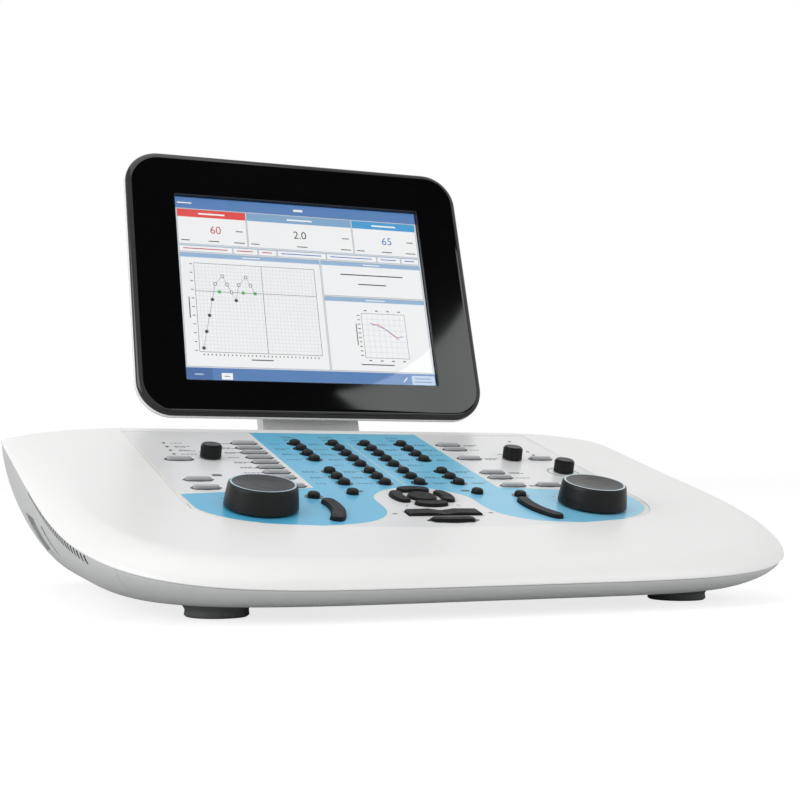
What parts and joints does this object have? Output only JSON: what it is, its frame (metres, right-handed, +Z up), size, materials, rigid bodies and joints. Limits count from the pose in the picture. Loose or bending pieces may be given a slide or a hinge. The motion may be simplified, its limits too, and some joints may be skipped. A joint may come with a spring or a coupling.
{
  "type": "desktop audiometer",
  "caption": "Desktop audiometer: wedge-shaped white case with a sloping panel of keys and two large dials, and a tilting colour screen on a short neck.",
  "frame": {"origin": "centre of the bounding box's underside, which is the plane of the feet", "axes": "+X to the user's right, +Y away from the user, +Z up"},
  "size_m": [0.496, 0.4106, 0.3384],
  "materials": {
    "case_white": "fine satin grain",
    "case_gray": "fine satin grain",
    "bay_gray": "matt",
    "black_plastic": "fine satin grain",
    "rubber": "matt",
    "steel": "brushed",
    "panel_print": "satin film",
    "tray_gray": "satin",
    "board_green": "lacquered",
    "smoked_window": "gloss",
    "led_lens": "clear",
    "neck_silver": "satin paint",
    "neck_gray": "matt",
    "gloss_black": "high gloss",
    "screen_glass": "clear",
    "lcd": "satin",
    "dial_ring": "satin",
    "key_gray": "satin",
    "key_black": "matt rubber"
  },
  "bodies": {
    "base": {"top_cover": "case_white", "bottom_cover": "case_gray", "left_side_cover": "case_gray", "right_side_cover": "case_gray", "connector_bay": "bay_gray", "rear_sockets": "black_plastic", "front_feet": "rubber", "rear_feet": "rubber", "case_screws": "steel", "control_overlay": "panel_print", "panel_tray": "tray_gray", "main_board": "board_green", "key_switches": "black_plastic", "dial_encoders": "black_plastic", "knob_encoders": "black_plastic", "key_windows": "smoked_window", "panel_leds": "led_lens", "speaker": "black_plastic", "hinge_cover": "case_white", "base_hinge_pin": "steel", "hinge_blocks": "steel"},
    "neck": {"neck_arm": "neck_silver", "neck_face": "neck_gray"},
    "display": {"display_hinge_pin": "steel", "display_bezel": "gloss_black", "display_glass": "screen_glass", "display_trim": "neck_silver", "display_rear_shell": "case_gray", "lcd_module": "lcd", "display_hinge_bracket": "steel"},
    "left_dial": {"left_dial": "black_plastic", "left_dial_ring": "dial_ring"},
    "right_dial": {"right_dial": "black_plastic", "right_dial_ring": "dial_ring"},
    "left_knob": {"left_knob": "black_plastic"},
    "right_knob": {"right_knob": "black_plastic"},
    "right_front_knob": {"right_front_knob": "black_plastic"},
    "left_bar_key": {"left_bar_key": "key_black"},
    "right_bar_key": {"right_bar_key": "key_black"},
    "nav_up_key": {"nav_up_key": "key_black"},
    "nav_right_key": {"nav_right_key": "key_black"},
    "nav_down_key": {"nav_down_key": "key_black"},
    "nav_left_key": {"nav_left_key": "key_black"},
    "nav_centre_key": {"nav_centre_key": "key_black"},
    "rocker_key": {"rocker_key": "key_black"},
    "front_bar_key": {"front_bar_key": "key_black"},
    "left_round_key": {"left_round_key": "key_black"},
    "left_plain_key": {"left_plain_key": "key_black"},
    "right_plain_key": {"right_plain_key": "key_black"},
    "right_round_key": {"right_round_key": "key_black"},
    "left_outer_keys": {"left_outer_keys": "key_black"},
    "left_inner_keys": {"left_inner_keys": "key_black"},
    "right_inner_keys": {"right_inner_keys": "key_black"},
    "right_outer_keys": {"right_outer_keys": "key_black"},
    "left_lower_keys": {"left_lower_keys": "key_black"},
    "right_lower_keys": {"right_lower_keys": "key_black"},
    "left_wide_keys": {"left_wide_keys": "key_gray"},
    "left_edge_keys": {"left_edge_keys": "key_gray"},
    "right_wide_keys": {"right_wide_keys": "key_gray"}
  },
  "joints": [
    {"name": "neck_lean", "type": "hinge", "parent": "base", "child": "neck", "pos_m": [0, 0.14867, 0.1055], "axis": [1, 0, 0], "range_deg": [-15, 5]},
    {"name": "display_tilt", "type": "hinge", "parent": "neck", "child": "display", "pos_m": [0, 0.17272, 0.17056], "axis": [1, 0, 0], "range_deg": [-25, 3]},
    {"name": "left_dial_turn", "type": "hinge", "parent": "base", "child": "left_dial", "pos_m": [-0.118, -0.09108, 0.06083], "axis": [0, -0.2588, 0.9659], "continuous": true},
    {"name": "right_dial_turn", "type": "hinge", "parent": "base", "child": "right_dial", "pos_m": [0.118, -0.09108, 0.06083], "axis": [0, -0.2588, 0.9659], "continuous": true},
    {"name": "left_knob_turn", "type": "hinge", "parent": "base", "child": "left_knob", "pos_m": [-0.1174, 0.02551, 0.09207], "axis": [0, -0.2588, 0.9659], "range_deg": [-150, 150]},
    {"name": "right_knob_turn", "type": "hinge", "parent": "base", "child": "right_knob", "pos_m": [0.1174, 0.02551, 0.09207], "axis": [0, -0.2588, 0.9659], "range_deg": [-150, 150]},
    {"name": "right_front_knob_turn", "type": "hinge", "parent": "base", "child": "right_front_knob", "pos_m": [0.1415, -0.01023, 0.0825], "axis": [0, -0.2588, 0.9659], "range_deg": [-150, 150]},
    {"name": "rocker_tip", "type": "hinge", "parent": "base", "child": "rocker_key", "pos_m": [0, -0.10487, 0.05398], "axis": [0, 0.9659, 0.2588], "range_deg": [-3, 3], "stiffness_Nm_per_rad": 0.12},
    {"name": "left_bar_key_press", "type": "slide", "parent": "base", "child": "left_bar_key", "axis": [0, 0.2588, -0.9659], "range_m": [0, 0.0012], "stiffness_N_per_m": 350, "springref_m": -0.0012},
    {"name": "right_bar_key_press", "type": "slide", "parent": "base", "child": "right_bar_key", "axis": [0, 0.2588, -0.9659], "range_m": [0, 0.0012], "stiffness_N_per_m": 350, "springref_m": -0.0012},
    {"name": "nav_up_key_press", "type": "slide", "parent": "base", "child": "nav_up_key", "axis": [0, 0.2588, -0.9659], "range_m": [0, 0.0012], "stiffness_N_per_m": 350, "springref_m": -0.0012},
    {"name": "nav_right_key_press", "type": "slide", "parent": "base", "child": "nav_right_key", "axis": [0, 0.2588, -0.9659], "range_m": [0, 0.0012], "stiffness_N_per_m": 350, "springref_m": -0.0012},
    {"name": "nav_down_key_press", "type": "slide", "parent": "base", "child": "nav_down_key", "axis": [0, 0.2588, -0.9659], "range_m": [0, 0.0012], "stiffness_N_per_m": 350, "springref_m": -0.0012},
    {"name": "nav_left_key_press", "type": "slide", "parent": "base", "child": "nav_left_key", "axis": [0, 0.2588, -0.9659], "range_m": [0, 0.0012], "stiffness_N_per_m": 350, "springref_m": -0.0012},
    {"name": "nav_centre_key_press", "type": "slide", "parent": "base", "child": "nav_centre_key", "axis": [0, 0.2588, -0.9659], "range_m": [0, 0.0012], "stiffness_N_per_m": 350, "springref_m": -0.0012},
    {"name": "front_bar_key_press", "type": "slide", "parent": "base", "child": "front_bar_key", "axis": [0, 0.2588, -0.9659], "range_m": [0, 0.0012], "stiffness_N_per_m": 350, "springref_m": -0.0012},
    {"name": "left_round_key_press", "type": "slide", "parent": "base", "child": "left_round_key", "axis": [0, 0.2588, -0.9659], "range_m": [0, 0.0012], "stiffness_N_per_m": 350, "springref_m": -0.0012},
    {"name": "left_plain_key_press", "type": "slide", "parent": "base", "child": "left_plain_key", "axis": [0, 0.2588, -0.9659], "range_m": [0, 0.0012], "stiffness_N_per_m": 350, "springref_m": -0.0012},
    {"name": "right_plain_key_press", "type": "slide", "parent": "base", "child": "right_plain_key", "axis": [0, 0.2588, -0.9659], "range_m": [0, 0.0012], "stiffness_N_per_m": 350, "springref_m": -0.0012},
    {"name": "right_round_key_press", "type": "slide", "parent": "base", "child": "right_round_key", "axis": [0, 0.2588, -0.9659], "range_m": [0, 0.0012], "stiffness_N_per_m": 350, "springref_m": -0.0012},
    {"name": "left_outer_keys_press", "type": "slide", "parent": "base", "child": "left_outer_keys", "axis": [0, 0.2588, -0.9659], "range_m": [0, 0.0012], "stiffness_N_per_m": 1400, "springref_m": -0.0012},
    {"name": "left_inner_keys_press", "type": "slide", "parent": "base", "child": "left_inner_keys", "axis": [0, 0.2588, -0.9659], "range_m": [0, 0.0012], "stiffness_N_per_m": 1750, "springref_m": -0.0012},
    {"name": "right_inner_keys_press", "type": "slide", "parent": "base", "child": "right_inner_keys", "axis": [0, 0.2588, -0.9659], "range_m": [0, 0.0012], "stiffness_N_per_m": 1750, "springref_m": -0.0012},
    {"name": "right_outer_keys_press", "type": "slide", "parent": "base", "child": "right_outer_keys", "axis": [0, 0.2588, -0.9659], "range_m": [0, 0.0012], "stiffness_N_per_m": 1400, "springref_m": -0.0012},
    {"name": "left_lower_keys_press", "type": "slide", "parent": "base", "child": "left_lower_keys", "axis": [0, 0.2588, -0.9659], "range_m": [0, 0.0012], "stiffness_N_per_m": 2100, "springref_m": -0.0012},
    {"name": "right_lower_keys_press", "type": "slide", "parent": "base", "child": "right_lower_keys", "axis": [0, 0.2588, -0.9659], "range_m": [0, 0.0012], "stiffness_N_per_m": 2100, "springref_m": -0.0012},
    {"name": "left_wide_keys_press", "type": "slide", "parent": "base", "child": "left_wide_keys", "axis": [0, 0.2588, -0.9659], "range_m": [0, 0.0012], "stiffness_N_per_m": 3150, "springref_m": -0.0012},
    {"name": "left_edge_keys_press", "type": "slide", "parent": "base", "child": "left_edge_keys", "axis": [0, 0.2588, -0.9659], "range_m": [0, 0.0012], "stiffness_N_per_m": 1050, "springref_m": -0.0012},
    {"name": "right_wide_keys_press", "type": "slide", "parent": "base", "child": "right_wide_keys", "axis": [0, 0.2588, -0.9659], "range_m": [0, 0.0012], "stiffness_N_per_m": 2800, "springref_m": -0.0012}
  ]
}
